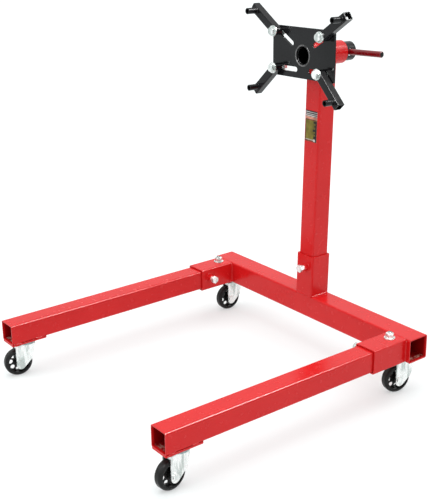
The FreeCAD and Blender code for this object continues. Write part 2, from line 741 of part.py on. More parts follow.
def make_frame_fasteners(washers, nuts):
    """Leg bolts up through the sleeves, clamp bolts in nuts welded to the sleeves and the collar."""
    bolts, clamps, welded = [], [], []
    bolt_y = size("crossbar_front") - size("leg_bolt_ahead")
    for name, side in LEGS.items():
        below = at(side * leg_side, bolt_y, size("caster_height"), Rotation(X_AXIS, 180))
        shank = "frame_tube + washer_thickness + nut_height + thread_end"
        bolts.append(bolt(f"leg_bolt_{name}", "bolt_diameter", "bolt_flats", "bolt_head", shank, below))
        top = at(side * leg_side, bolt_y, frame_top)
        washers.append(washer(f"leg_washer_{name}", "bolt_hole", top))
        on_washer = top * at(z=size("washer_thickness"))
        nuts.append(nut(f"leg_nut_{name}", "bolt_diameter", "bolt_flats", "nut_height", on_washer))
        face = side * (leg_side - size("frame_tube") / 2)
        inward = Rotation(Y_AXIS, -90 * side)
        clamp_height = frame_middle + size("clamp_rise")
        place = at(face, size("crossbar_front") - size("clamp_ahead"), clamp_height, inward)
        clamps.append(clamp_bolt(f"clamp_{name}", place, TUBE_STEP))
        welded.append(nut(f"clamp_nut_{name}", "bolt_diameter", "bolt_flats", "nut_height", place))
    front = POST * at(size("post_clamp_offset"), 0, size("post_clamp_height"), Rotation(X_AXIS, 90))
    clamps.append(clamp_bolt("clamp_post", front, TUBE_STEP))
    welded.append(nut("clamp_nut_post", "bolt_diameter", "bolt_flats", "nut_height", front))
    on_collar = COLLAR * at(0, size("head_clamp_behind"), size("collar_outer") / 2)
    depth = "collar_outer / 2 - shaft_outer / 2 - head_clamp_slack"
    clamps.append(clamp_bolt("clamp_head", on_collar, depth))
    welded.append(nut("clamp_nut_head", "bolt_diameter", "bolt_flats", "nut_height", on_collar))
    group("leg_bolts", bolts)
    group("frame_washers", washers)
    group("frame_nuts", nuts)
    group("clamp_bolts", clamps)
    group("clamp_nuts", welded)


def clamp_bolt(name, face, depth):
    """A bolt through a nut on the face, whose tip bears on the tube that is depth behind the face."""
    place = face * at(z=size("clamp_standoff"))
    return bolt(name, "bolt_diameter", "bolt_flats", "bolt_head", f"clamp_standoff + {depth}", place)


# Head

ROLL = Rotation(Y_AXIS, -size("head_roll"))
HEAD = COLLAR * at(rotation=ROLL)


def make_collar():
    body = new_body("collar_tube")
    ring = new_sketch(body)
    add_circle(ring, "collar_outer")
    add_circle(ring, "shaft_outer + 2 * running_slack")
    pad(body, ring, "collar_length")
    start = (0, size("head_clamp_behind") - size("collar_start"))
    drill(body, "XZ_Plane", "bolt_hole", None, "head_clamp_behind - collar_start", start, backwards=True)
    finish(body, "head_collar", COLLAR * at(0, size("collar_start"), 0, TO_REAR))


def make_shaft():
    """The head's tube, with the handle's hole through its rear."""
    tube = new_body("shaft_tube")
    ring = new_sketch(tube)
    add_circle(ring, "shaft_outer")
    add_circle(ring, "shaft_outer - 2 * shaft_wall")
    pad(tube, ring, "shaft_length")
    drill(tube, "YZ_Plane", "handle_hole", None, "handle_behind", (0, size("handle_behind")), symmetric=True)
    finish(tube, "head_shaft", HEAD * at(rotation=TO_REAR))


def make_mounting_plate():
    body = new_body("mounting_plate")
    outline = new_sketch(body, "XZ_Plane")
    start = (size("plate_width") / 2, size("plate_height") / 2, size("plate_corner"))
    add_rounded_rectangle(outline, "plate_width", "plate_height", "plate_corner", start)
    pad(body, outline, "plate_thickness", backwards=True)
    centre = new_sketch(body, "XZ_Plane")
    add_circle(centre, "shaft_outer", None, "-plate_above", (0, -size("plate_above")))
    pocket(body, centre, symmetric=True)
    slots = new_sketch(body, "XZ_Plane")
    for side in (-1, 1):
        add_slot(slots, side, 1, ("upper_slot_inner_side", "upper_slot_inner_rise"),
                 ("slot_outer_side", "upper_slot_outer_rise"))
        add_slot(slots, side, -1, ("lower_slot_inner_side", "lower_slot_drop"),
                 ("slot_outer_side", "lower_slot_drop"))
    pocket(body, slots, symmetric=True)
    finish(body, "mounting_plate", HEAD * at(z=size("plate_above")))


def make_handle():
    rod = cylinder("handle_rod", "handle_diameter / 2", "handle_length")
    bar = doc.addObject("Part::Chamfer", "handle_bar")
    doc.recompute()
    bar.Base = rod
    chamfer = size("handle_chamfer")
    round_edges = [index for index, edge in enumerate(rod.Shape.Edges, start=1) if edge.Closed]
    bar.Edges = [(index, chamfer, chamfer) for index in round_edges]
    sideways = Rotation(Y_AXIS, 90 - size("handle_tilt"))
    middle = HEAD * at(0, size("handle_behind"), 0, sideways)
    finish(bar, "handle_bar", middle * at(z=-size("handle_length") / 2))


# Arms

def arm_bolt_height(row, out):
    """The slot bolt's height above the head's axis, where it stands in its slot."""
    if row == "lower":
        return size("plate_above") - size("lower_slot_drop")
    run = size("slot_outer_side") - size("upper_slot_inner_side")
    rise = size("upper_slot_outer_rise") - size("upper_slot_inner_rise")
    outer_rise = size("plate_above") + size("upper_slot_outer_rise")
    return outer_rise - (size("slot_outer_side") - out) * rise / run


def arm_place(side, row, angle, out):
    """The arm's own frame: +X along the arm from its bolt, +Y to the rear from the plate's front face."""
    turn = angle if side > 0 else 180 - angle
    return HEAD * at(side * out, 0, arm_bolt_height(row, out), Rotation(Y_AXIS, -turn))


def square_bar(name, width, corner, start):
    """A square bar as long as an arm, along its own +Z from zero."""
    body = new_body(name)
    section = new_sketch(body)
    add_rounded_rectangle(section, width, width, corner, start)
    pad(body, section, "arm_reach + arm_tube / 2")
    return body


def round_end(name, width):
    """What an arm's bar is trimmed to: half a disc around the bolt, and a block from there on."""
    disc = new_body(f"{name}_disc")
    outline = new_sketch(disc, "YZ_Plane")
    add_circle(outline, width, None, "arm_tube / 2", (0, size("arm_tube") / 2))
    pad(disc, outline, "arm_tube", symmetric=True)
    block = doc.addObject("Part::Box", f"{name}_block")
    bind(block, Length="arm_tube", Width="arm_tube", Height="arm_reach")
    half = size("arm_tube") / 2
    block.Placement = at(-half, -half, half)
    return fuse(name, disc, block)


def make_arm(name, place):
    """Square tube with a closed round bolt end, the bolt's hole and the finger's hole right through."""
    half, corner, wall = size("arm_tube") / 2, size("arm_corner"), size("arm_wall")
    bar = square_bar(f"arm_bar_{name}", "arm_tube", "arm_corner", (half, half, corner))
    drill(bar, "YZ_Plane", "bolt_hole", None, "arm_tube / 2", (0, half), symmetric=True)
    finger_start = (0, half + size("arm_reach") - size("finger_setback"))
    along = "arm_tube / 2 + arm_reach - finger_setback"
    drill(bar, "YZ_Plane", "finger_bore", None, along, finger_start, symmetric=True)
    inside = "arm_tube - 2 * arm_wall"
    core_start = (half - wall, half - wall, corner - wall)
    core = square_bar(f"arm_core_{name}", inside, "arm_corner - arm_wall", core_start)
    outer = common(f"arm_outer_{name}", bar, round_end(f"arm_end_{name}", "arm_tube"))
    hollow = common(f"arm_hollow_{name}", core, round_end(f"arm_hollow_end_{name}", inside))
    arm = cut(f"arm_{name}", outer, hollow)
    back = Rotation(Y_AXIS, 90) * Rotation(Z_AXIS, 90)
    finish(arm, f"arm_{name}", place * at(-half, -half - size("joint_gap"), 0, back))


def make_finger(name, place):
    outer = cylinder(f"finger_outer_{name}", "finger_diameter / 2", "finger_height")
    bore = cylinder(f"finger_bore_{name}", "finger_bore / 2", "finger_height")
    tube = cut(f"finger_{name}", outer, bore)
    along = size("arm_reach") - size("finger_setback")
    forward = Rotation(X_AXIS, 90)
    face = -size("arm_tube") - size("joint_gap")
    finish(tube, f"finger_{name}", place * at(along, face, 0, forward))


def make_arm_bolt(name, place):
    """Bolt and washer in front of the arm, washer and nut behind the plate."""
    forward = Rotation(X_AXIS, 90)
    front = place * at(0, -size("arm_tube") - 2 * size("joint_gap"), 0, forward)
    head = bolt(f"arm_screw_{name}", "bolt_diameter", "bolt_flats", "bolt_head",
                "arm_tube + plate_thickness + 2 * washer_thickness + 3 * joint_gap + nut_height + thread_end",
                front * at(z=size("washer_thickness")))
    front_washer = washer(f"arm_washer_{name}", "bolt_hole", front)
    behind = place * at(0, size("plate_thickness") + size("joint_gap"), 0, Rotation(X_AXIS, -90))
    rear_washer = washer(f"arm_rear_washer_{name}", "bolt_hole", behind)
    on_washer = behind * at(z=size("washer_thickness"))
    end = nut(f"arm_nut_{name}", "bolt_diameter", "bolt_flats", "nut_height", on_washer)
    group(f"arm_bolt_{name}", [head, front_washer, rear_washer, end])


make_crossbar()
for leg_name, leg_direction in LEGS.items():
    make_leg_sleeve(leg_name, leg_direction)
    make_leg(leg_name, leg_direction)
    make_caster_pad(leg_name, leg_direction)
make_post_sleeve()
make_post()
frame_washers, frame_nuts = make_kingpins()
make_frame_fasteners(frame_washers, frame_nuts)
make_upper_races()
make_balls()
for caster_name, caster in CASTERS.items():
    make_fork(caster_name, caster)
    make_axle(caster_name, caster)
    make_wheel(caster_name, caster)
make_collar()
make_shaft()
make_mounting_plate()
make_handle()
for arm_name, arm in ARMS.items():
    make_arm(arm_name, arm_place(*arm))
    make_finger(arm_name, arm_place(*arm))
    make_arm_bolt(arm_name, arm_place(*arm))
doc.recompute()

for item in doc.Objects:
    if "Invalid" in item.State or "Error" in item.State:
        raise RuntimeError(f"{item.Name} failed: {item.State}")
os.makedirs("parts", exist_ok=True)
overall = FreeCAD.BoundBox()
for item in subparts:
    if item.Shape.isNull() or not item.Shape.isValid():
        raise RuntimeError(f"{item.Label} has no valid shape")
    item.Shape.exportStep(f"parts/{item.Label}.step")
    overall.add(item.Shape.BoundBox)
print(f"{len(subparts)} sub-parts, box {overall}")
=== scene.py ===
"""Looks of the engine stand: camera, studio, finishes for the CAD nodes, and the welds, threads, handle plugs
and label that ride on them. Metres. +X is the stand's right, -Y its front, +Z up.
"""
import math

import bpy
from mathutils import Matrix, Vector, noise


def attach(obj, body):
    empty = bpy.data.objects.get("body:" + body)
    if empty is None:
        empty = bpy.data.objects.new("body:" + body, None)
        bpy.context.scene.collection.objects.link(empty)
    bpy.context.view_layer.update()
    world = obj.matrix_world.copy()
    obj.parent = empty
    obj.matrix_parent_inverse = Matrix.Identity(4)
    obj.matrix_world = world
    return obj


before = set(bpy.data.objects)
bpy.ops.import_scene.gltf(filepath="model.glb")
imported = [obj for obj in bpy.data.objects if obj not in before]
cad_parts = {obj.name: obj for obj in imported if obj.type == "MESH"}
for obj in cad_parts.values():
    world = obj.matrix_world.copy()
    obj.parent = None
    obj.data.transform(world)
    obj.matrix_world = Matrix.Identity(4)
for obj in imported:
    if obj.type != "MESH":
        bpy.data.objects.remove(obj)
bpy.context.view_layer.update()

MM = 0.001
X, Y, Z = Vector((1, 0, 0)), Vector((0, 1, 0)), Vector((0, 0, 1))

# Sizes of the stand, as in its CAD model
CROSSBAR_HALF = 392 * MM
CROSSBAR_FRONT = 294.8 * MM
FRAME_TUBE = 63.5 * MM
FRAME_WALL = 3 * MM
LEG_TUBE = 54.5 * MM
LEG_WALL = 2.5 * MM
LEG_SIDE = 348 * MM
LEG_FRONT = CROSSBAR_FRONT - 726 * MM
FRAME_BOTTOM = 96 * MM
FRAME_TOP = FRAME_BOTTOM + FRAME_TUBE
LEG_BOLT_AHEAD = 26 * MM
CLAMP_AHEAD = 84 * MM
CLAMP_RISE = 5 * MM
POST_CLAMP = (8 * MM, 82 * MM)
PAD_LENGTH = 100 * MM
PAD_THICKNESS = 4.5 * MM
BOLT_RADIUS = 6 * MM
NUT_FLATS = 19 * MM
NUT_HEIGHT = 10.8 * MM
CLAMP_STANDOFF = 21 * MM
WASHER = 2.5 * MM
THREAD_END = 3 * MM
COLLAR_RADIUS = 30 * MM
COLLAR_AHEAD = 36 * MM
COLLAR_RISE = 655.5 * MM
COLLAR_BOLT_BEHIND = 60 * MM
SHAFT_RADIUS = 25 * MM
PLATE = 6 * MM
ARM_TUBE = 22 * MM
JOINT_GAP = 0.05 * MM
HANDLE_BEHIND = 144 * MM
HANDLE_LENGTH = 274 * MM
FINGER_RADIUS = 8 * MM
FINGER_ALONG = 85 * MM
MIDDLE_HEIGHT = FRAME_BOTTOM + FRAME_TUBE / 2
CLAMP_HEIGHT = MIDDLE_HEIGHT + CLAMP_RISE

# Angles in degrees
POST_LEAN = 1.6
HEAD_ROLL = 1.7
HANDLE_TILT = 1.5

# Which side of the plate the arm is on, its bolt's distance out and up from the plate's centre in
# millimetres, and its angle in degrees
ARMS = {
    "upper_left": (-1, 89, 56.4082, 33.5),
    "upper_right": (1, 85, 54.0408, 33.5),
    "lower_left": (-1, 89, -37, -42),
    "lower_right": (1, 78, -37, -46),
}

# Places with +Y to the rear: POST is at the front of its sleeve's foot. COLLAR and HEAD are both at the centre of
# the head plate's front face, on the collar's axis, and the head is rolled in the collar.
POST = Matrix.Translation((0, CROSSBAR_FRONT, FRAME_TOP)) @ Matrix.Rotation(math.radians(-POST_LEAN), 4, "X")
COLLAR = POST @ Matrix.Translation((0, -COLLAR_AHEAD, COLLAR_RISE))
HEAD = COLLAR @ Matrix.Rotation(math.radians(-HEAD_ROLL), 4, "Y")


def arm_frame(name):
    """+X along the arm from its bolt, +Y to the rear from the plate's front face."""
    side, out, height, angle = ARMS[name]
    turn = angle if side > 0 else 180 - angle
    return (HEAD @ Matrix.Translation((side * out * MM, 0, height * MM))
            @ Matrix.Rotation(math.radians(-turn), 4, "Y"))


# Camera

def add_camera():
    """A camera that looks along an azimuth (to the left of +Y) and down by a pitch, with a slight roll."""
    position = Vector((1.9412, -1.4854, 1.2511))
    azimuth, pitch, roll = (math.radians(a) for a in (52.51, 20.09, -0.68))
    forward = Vector((-math.sin(azimuth) * math.cos(pitch), math.cos(azimuth) * math.cos(pitch),
                      -math.sin(pitch)))
    right = Vector((math.cos(azimuth), math.sin(azimuth), 0))
    up = right.cross(forward)
    turned_right = right * math.cos(roll) + up * math.sin(roll)
    turned_up = up * math.cos(roll) - right * math.sin(roll)
    data = bpy.data.cameras.new("camera")
    data.lens = 74.14
    data.sensor_width = 36
    data.clip_end = 50
    camera = bpy.data.objects.new("camera", data)
    axes = Matrix((turned_right, turned_up, -forward)).transposed()
    camera.matrix_world = Matrix.Translation(position) @ axes.to_4x4()
    bpy.context.scene.collection.objects.link(camera)
    bpy.context.scene.camera = camera


add_camera()


# Materials

class Shader:
    """A material's node tree, with its Principled shader. Every value may be a number or another node's socket."""

    def __init__(self, name):
        self.material = bpy.data.materials.new(name)
        self.material.use_nodes = True
        self.tree = self.material.node_tree
        self.main = self.tree.nodes["Principled BSDF"]
        self.place = self.add("ShaderNodeTexCoord").outputs["Object"]

    def add(self, kind, **settings):
        item = self.tree.nodes.new(kind)
        for name, value in settings.items():
            setattr(item, name, value)
        return item

    def join(self, source, target):
        if isinstance(source, bpy.types.NodeSocket):
            self.tree.links.new(source, target)
        else:
            target.default_value = source

    def set(self, **values):
        for name, value in values.items():
            self.join(value, self.main.inputs[name.replace("_", " ")])

    def math(self, operation, first, second=0.0, third=None, clamp=False):
        item = self.add("ShaderNodeMath", operation=operation, use_clamp=clamp)
        for socket, value in zip(item.inputs, (first, second, third)):
            if value is not None:
                self.join(value, socket)
        return item.outputs[0]

    def noise(self, scale, detail=2.0, roughness=0.5, stretch=None):
        item = self.add("ShaderNodeTexNoise")
        item.inputs["Scale"].default_value = scale
        item.inputs["Detail"].default_value = detail
        item.inputs["Roughness"].default_value = roughness
        place = self.place
        if stretch:
            mapping = self.add("ShaderNodeMapping")
            self.join(place, mapping.inputs["Vector"])
            mapping.inputs["Scale"].default_value = stretch
            place = mapping.outputs[0]
        self.join(place, item.inputs["Vector"])
        return item.outputs["Fac"]

    def band(self, value, low, high, at_low=0.0, at_high=1.0):
        """Goes smoothly from at_low to at_high as value goes from low to high."""
        item = self.add("ShaderNodeMapRange", interpolation_type="SMOOTHSTEP")
        for socket, number in zip(item.inputs, (value, low, high, at_low, at_high)):
            self.join(number, socket)
        return item.outputs[0]

    def mix(self, factor, first, second):
        """A colour between two colours. The mix node keeps its colour sockets at 6 and 7, and the result at 2."""
        item = self.add("ShaderNodeMix", data_type="RGBA")
        self.join(factor, item.inputs["Factor"])
        self.join(first, item.inputs[6])
        self.join(second, item.inputs[7])
        return item.outputs[2]

    def cloudy(self, value, low, high, light, dark):
        """A colour that drifts from light to dark as value goes from low to high."""
        return self.mix(self.band(value, low, high), light, dark)

    def sheen(self, scale, gloss):
        """A roughness that drifts between the two values of gloss."""
        return self.band(self.noise(scale, 3), 0.3, 0.7, gloss[0], gloss[1])

    def coordinates(self, place):
        """X, Y and Z of a place."""
        parts = self.add("ShaderNodeSeparateXYZ")
        self.join(place, parts.inputs[0])
        return parts.outputs

    def bump(self, height, strength, distance, below=None):
        """Relief from a height, on top of the normals below it."""
        item = self.add("ShaderNodeBump")
        item.inputs["Strength"].default_value = strength
        item.inputs["Distance"].default_value = distance
        self.join(height, item.inputs["Height"])
        if below is not None:
            self.join(below, item.inputs["Normal"])
        return item.outputs[0]

    def soft_edges(self, radius):
        """Edges that catch the light as if they were broken."""
        item = self.add("ShaderNodeBevel", samples=4)
        item.inputs["Radius"].default_value = radius
        return item.outputs[0]

    def inside(self, axis, centre, half_bore, ends, edge):
        """1 on a square tube's inner walls between the two ends, which are ragged. 0 elsewhere."""
        at = self.coordinates(self.place)
        mask = None
        for index in range(3):
            if index == axis:
                middle, half = (ends[0] + ends[1]) / 2, (ends[1] - ends[0]) / 2
                ragged = self.math("MULTIPLY_ADD", self.noise(220), edge, half - edge / 2)
                along = self.math("ABSOLUTE", self.math("SUBTRACT", at[index], middle))
                inner = self.band(self.math("SUBTRACT", ragged, along), -edge / 3, edge / 3)
            else:
                away = self.math("ABSOLUTE", self.math("SUBTRACT", at[index], centre[index]))
                inner = self.math("LESS_THAN", away, half_bore)
            mask = inner if mask is None else self.math("MULTIPLY", mask, inner)
        return mask

    def floor_patch(self, axis, centre, half_bore, ends, start, end):
        """1 on the lower inner wall of a square tube, from start to end inside its open ends. 0 elsewhere."""
        edge = 4 * MM
        outer = self.inside(axis, centre, half_bore, (ends[0] + start, ends[1] - start), edge)
        inner = self.inside(axis, centre, half_bore, (ends[0] + end, ends[1] - end), edge)
        strip = self.math("SUBTRACT", outer, inner, clamp=True)
        low = self.math("LESS_THAN", self.coordinates(self.place)[2], centre[2] - half_bore + 1 * MM)
        return self.math("MULTIPLY", strip, low)

    def near_axis(self, place, radius):
        """1 closer than radius to the Y axis of a place. 0 elsewhere."""
        back = place.inverted()
        mapping = self.add("ShaderNodeMapping")
        self.join(self.place, mapping.inputs["Vector"])
        mapping.inputs["Location"].default_value = back.to_translation()
        mapping.inputs["Rotation"].default_value = back.to_euler()
        at = self.coordinates(mapping.outputs[0])
        upward = self.math("MULTIPLY", at[2], at[2])
        return self.math("LESS_THAN", self.math("MULTIPLY_ADD", at[0], at[0], upward), radius ** 2)


def rgb(red, green, blue):
    return (red, green, blue, 1.0)


def sprayed(shader, light, dark, gloss, peel, soft_edge):
    """Colour, roughness and relief of paint: cloudy colour and orange peel."""
    return (shader.cloudy(shader.noise(9, 3), 0.35, 0.65, light, dark), shader.sheen(60, gloss),
            shader.bump(shader.noise(420, 2), peel, 0.25 * MM, shader.soft_edges(soft_edge)))


# How far in from a tube's open ends the paint gets thin and darker, partly painted shade, and where the bare
# steel strip, lighter as a painted pool of light, starts and ends
THIN_SHADED_FROM, BARE_LIT_FROM, BARE_LIT_TO = 6 * MM, 8 * MM, 18 * MM


def paint(name, light, dark, gloss, shine, peel, bore=None):
    """Sprayed or powder paint. Inside a tube's bore it is thin, dull and darker, partly painted shade, with a
    ragged strip of bare steel on its floor just inside the open ends, lighter as a painted pool of light."""
    shader = Shader(name)
    colour, rough, relief = sprayed(shader, light, dark, gloss, peel, 0.5 * MM)
    metallic = 0.0
    if bore:
        axis, centre, half_bore, ends = bore
        # Darker, duller red from a little inside the ends: thin paint, and painted shade in the bore
        thin = shader.inside(axis, centre, half_bore, (ends[0] + THIN_SHADED_FROM, ends[1] - THIN_SHADED_FROM), 5 * MM)
        # A ragged, lighter strip of bare steel on the bore's floor just inside the ends: a painted pool of light
        strip = shader.floor_patch(axis, centre, half_bore, ends, BARE_LIT_FROM, BARE_LIT_TO)
        dull = shader.mix(shader.noise(140, 4, 0.6), rgb(0.30, 0.002, 0.003), rgb(0.22, 0.001, 0.002))
        strip = shader.math("MULTIPLY", strip, shader.band(shader.noise(110, 2), 0.42, 0.52))
        steel = shader.mix(shader.noise(160, 4, 0.6), rgb(0.36, 0.15, 0.12), rgb(0.52, 0.27, 0.22))
        colour = shader.mix(strip, shader.mix(thin, colour, dull), steel)
        rough = shader.math("MULTIPLY_ADD", thin, 0.35, rough)
        metallic = shader.math("MULTIPLY", strip, 0.3)
        shine = shader.math("MULTIPLY_ADD", thin, -0.9 * shine, shine)
    shader.set(Base_Color=colour, Roughness=rough, Metallic=metallic, Normal=relief, Specular_IOR_Level=shine)
    return shader.material


def black_with_shaded_bore(name, light, dark, gloss, shine, peel, place, radius):
    """The black paint of the shaft. Inside the round bore it is near-black and has no shine: painted shade."""
    shader = Shader(name)
    colour, rough, relief = sprayed(shader, light, dark, gloss, peel, 0.8 * MM)
    # Painted shade: near-black and without shine inside the bore
    bore = shader.near_axis(place, radius)
    shader.set(Base_Color=shader.mix(bore, colour, rgb(0.002, 0.002, 0.002)), Roughness=rough, Normal=relief,
               Specular_IOR_Level=shader.math("MULTIPLY_ADD", bore, -shine, shine))
    return shader.material


def plated(name, light, dark, gloss, grain, metallic):
    """Bright plating: tint in soft upright streaks, dull patches and fine level lines."""
    shader = Shader(name)
    streaks = shader.noise(75, 3, 0.55, stretch=(1, 1, 0.22))
    lines = shader.noise(260, 2, 0.5, stretch=(1, 1, 9))
    shader.set(Base_Color=shader.cloudy(streaks, 0.42, 0.62, light, dark), Metallic=metallic,
               Roughness=shader.sheen(120, gloss),
               Normal=shader.bump(lines, grain, 0.1 * MM, shader.soft_edges(0.35 * MM)))
    return shader.material


def moulded(name, light, dark, gloss, grain, scale):
    """Plastic, rubber or printed film: fine pebbled grain and a dusty, uneven sheen."""
    shader = Shader(name)
    shader.set(Base_Color=shader.cloudy(shader.noise(45, 4), 0.35, 0.7, light, dark),
               Roughness=shader.sheen(80, gloss),
               Normal=shader.bump(shader.noise(scale, 3), grain, 0.2 * MM, shader.soft_edges(0.4 * MM)),
               Specular_IOR_Level=0.2)
    return shader.material


# Light and dark colour, the two roughnesses, shine and orange peel
REDS = (rgb(0.585, 0.009, 0.010), rgb(0.555, 0.007, 0.008), (0.20, 0.28), 0.24, 0.02)
BLACKS = (rgb(0.008, 0.008, 0.009), rgb(0.005, 0.005, 0.006), (0.12, 0.19), 0.22, 0.10)
DARK_REDS = (rgb(0.19, 0.003, 0.006), rgb(0.15, 0.002, 0.005), (0.14, 0.20), 0.40, 0.05)

# Bores count as a little wider than they are, so that their walls are inside them. Square bores have
# an axis, a centre, half a width and two ends.
HAIR = 0.1 * MM
LEG_BORE_HALF = LEG_TUBE / 2 - LEG_WALL + HAIR
CROSSBAR_BORE_HALF = FRAME_TUBE / 2 - FRAME_WALL + HAIR
SHAFT_BORE = 23.2 * MM
LEG_BORES = {side: (1, (side * LEG_SIDE, 0, MIDDLE_HEIGHT), LEG_BORE_HALF, (LEG_FRONT, CROSSBAR_FRONT))
             for side in (-1, 1)}
CROSSBAR_BORE = (0, (0, CROSSBAR_FRONT + FRAME_TUBE / 2, MIDDLE_HEIGHT), CROSSBAR_BORE_HALF,
                 (-CROSSBAR_HALF, CROSSBAR_HALF))

# The finish of each material slot of the record
FINISHES = {
    "red_paint": paint("red_paint", *REDS),
    "black_paint": paint("black_paint", *BLACKS),
    "handle_paint": paint("handle_paint", *DARK_REDS),
    "zinc": plated("zinc", rgb(0.90, 0.92, 0.91), rgb(0.50, 0.55, 0.53), (0.20, 0.34), 0.08, 0.75),
    "bearing_steel": plated("bearing_steel", rgb(0.62, 0.62, 0.62), rgb(0.55, 0.55, 0.55),
                            (0.12, 0.20), 0.02, 1.0),
    "hub_plastic": moulded("hub_plastic", rgb(0.006, 0.006, 0.006), rgb(0.010, 0.010, 0.010),
                           (0.20, 0.32), 0.08, 700),
    "tyre": moulded("tyre", rgb(0.009, 0.009, 0.009), rgb(0.014, 0.014, 0.014), (0.26, 0.40), 0.12, 500),
}
RED, BLACK, ZINC = FINISHES["red_paint"], FINISHES["black_paint"], FINISHES["zinc"]
# Lighter, partly metallic grey for the ring in front of the plate: worn paint, and a painted glint
WORN_GLINT = plated("worn_black_paint_glint", rgb(0.13, 0.13, 0.13), rgb(0.008, 0.008, 0.008), (0.20, 0.30), 0.05, 0.3)

# Nodes with a finish of their own
NODE_FINISHES = {
    # Zinc darkened to a teal-grey: painted shade between the leg and the fork
    "caster_upper_races": plated("zinc_races_painted_shade", rgb(0.30, 0.37, 0.37), rgb(0.20, 0.26, 0.26),
                                 (0.20, 0.34), 0.08, 0.75),
    "head_shaft": black_with_shaded_bore("black_paint_shaft_shaded_bore", *BLACKS, HEAD, SHAFT_BORE),
    "leg_left": paint("red_paint_leg_left", *REDS, LEG_BORES[-1]),
    "leg_right": paint("red_paint_leg_right", *REDS, LEG_BORES[1]),
    "rear_crossbar": paint("red_paint_crossbar", *REDS, CROSSBAR_BORE),
}

for node_name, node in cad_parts.items():
    for slot in node.material_slots:
        finish = FINISHES[slot.material.name.split(".")[0]]
        slot.material = NODE_FINISHES.get(node_name, finish)


# Pieces

class Piece:
    """Gathers closed shapes into one mesh that rides on a body."""

    def __init__(self):
        self.points, self.faces, self.kinds = [], [], []

    def add_rings(self, rings, closed=False, kind=0):
        """Skins rings of points, and caps the ends unless the rings close on themselves."""
        first, count = len(self.points), len(rings[0])
        for ring in rings:
            self.points.extend(ring)
        total = len(rings)
        for row in range(total if closed else total - 1):
            here, there = first + row * count, first + (row + 1) % total * count
            for k in range(count):
                after = (k + 1) % count
                self.faces.append((here + k, here + after, there + after, there + k))
                self.kinds.append(kind)
        if not closed:
            last = first + (total - 1) * count
            self.faces.append(tuple(first + k for k in reversed(range(count))))
            self.faces.append(tuple(last + k for k in range(count)))
            self.kinds += [kind, kind]

    def make(self, name, body, materials, smooth=True):
        """Makes the mesh. A shape's kind says which of the materials it has."""
        mesh = bpy.data.meshes.new(name)
        mesh.from_pydata(self.points, [], self.faces)
        for material in materials:
            mesh.materials.append(material)
        mesh.polygons.foreach_set("material_index", self.kinds)
        mesh.polygons.foreach_set("use_smooth", [smooth] * len(mesh.polygons))
        mesh.update()
        obj = bpy.data.objects.new(name, mesh)
        bpy.context.scene.collection.objects.link(obj)
        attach(obj, body)


def circle(steps):
    """Cosine and sine at even steps round a circle."""
    return [(math.cos(math.tau * k / steps), math.sin(math.tau * k / steps)) for k in range(steps)]


# Paths for beads: points, each with the direction that the weld stands out in

def line(start, end, out):
    return [(start, out.normalized()), (end, out.normalized())]


def ring_path(centre, across, up, radius, out, steps=48):
    """Round a circular joint. Out is a function of the outward radial direction."""
    radials = [across * c + up * s for c, s in circle(steps)]
    return [(centre + radial * radius, out(radial).normalized()) for radial in radials]


def even_steps(path, step, closed):
    """Distance, point and outward direction at even steps along a path, and the path's length."""
    loop = path + path[:1] if closed else path
    lengths = [0.0]
    for (a, _), (b, _) in zip(loop, loop[1:]):
        lengths.append(lengths[-1] + (b - a).length)
    count = max(3, round(lengths[-1] / step))
    found, piece = [], 0
    for k in range(count if closed else count + 1):
        s = lengths[-1] * k / count
        while piece < len(lengths) - 2 and s > lengths[piece + 1]:
            piece += 1
        share = (s - lengths[piece]) / max(lengths[piece + 1] - lengths[piece], 1e-9)
        found.append((s, loop[piece][0].lerp(loop[piece + 1][0], share),
                      loop[piece][1].lerp(loop[piece + 1][1], share).normalized()))
    return found, lengths[-1]


BEAD_SIDES = 10
BEAD_STEP = 0.6 * MM
RIPPLE = 2.3 * MM
RIPPLE_LEAN = 0.35
RIPPLE_DEPTH = 0.10
UNEVEN = 0.10


def add_bead(piece, path, radius, flat=1.0, closed=False):
    """A weld bead: overlapping ripples, a little uneven, with rounded ends unless it is closed."""
    stops, total = even_steps(path, BEAD_STEP, closed)
    rings = []
    for index, (s, point, out) in enumerate(stops):
        before, after = stops[index - 1], stops[(index + 1) % len(stops)]
        if not closed:
            before, after = stops[max(index - 1, 0)], stops[min(index + 1, len(stops) - 1)]
        along = (after[1] - before[1]).normalized()
        side = along.cross(out).normalized()
        up = side.cross(along)
        uneven = 1 + UNEVEN * noise.noise(point * 180)
        end = 1.0
        if not closed:
            from_end = min(s, total - s, radius) / radius
            end = math.sqrt(max(1 - (1 - from_end) ** 2, 0.02))
        ring = []
        for across, upward in circle(BEAD_SIDES):
            phase = (s / RIPPLE + RIPPLE_LEAN * max(upward, 0)) % 1
            size = radius * uneven * end * (1 + RIPPLE_DEPTH * (phase - 0.5))
            ring.append(point + side * (size * across) + up * (size * flat * upward))
        rings.append(ring)
    piece.add_rings(rings, closed)


THREAD_SIDES = 24
THREAD_ROWS = 8  # in each turn
THREAD_PITCH = 1.75 * MM
THREAD_SUNK = 0.35 * MM
THREAD_DEPTH = 0.5 * MM


def add_thread(piece, place, length):
    """A helical thread round +Z of place, from zero up, that stands just proud of the bolt's plain shank and
    fades over its last turn."""
    rows = max(2, round(length / THREAD_PITCH * THREAD_ROWS))
    rings = []
    for row in range(rows + 1):
        height = length * row / rows
        taper = max(min(1, (length - height) / THREAD_PITCH), 0.2)
        ring = []
        for k, (across, upward) in enumerate(circle(THREAD_SIDES)):
            phase = (height / THREAD_PITCH - k / THREAD_SIDES) % 1
            crest = 1 - abs(2 * phase - 1)
            radius = BOLT_RADIUS - THREAD_SUNK + THREAD_DEPTH * crest * taper
            ring.append(place @ Vector((radius * across, radius * upward, height)))
        rings.append(ring)
    piece.add_rings(rings)


# Radii of the beads
FILLET = 3.2 * MM
SEAM = 2.6 * MM
SADDLE = 2.8 * MM
SMALL_RING = 2.0 * MM
COLLAR_NUT_RING = 2.4 * MM
PAD_EDGE = 1.6 * MM
HEAD_REAR = 3.4 * MM
HEAD_FRONT = 2.3 * MM


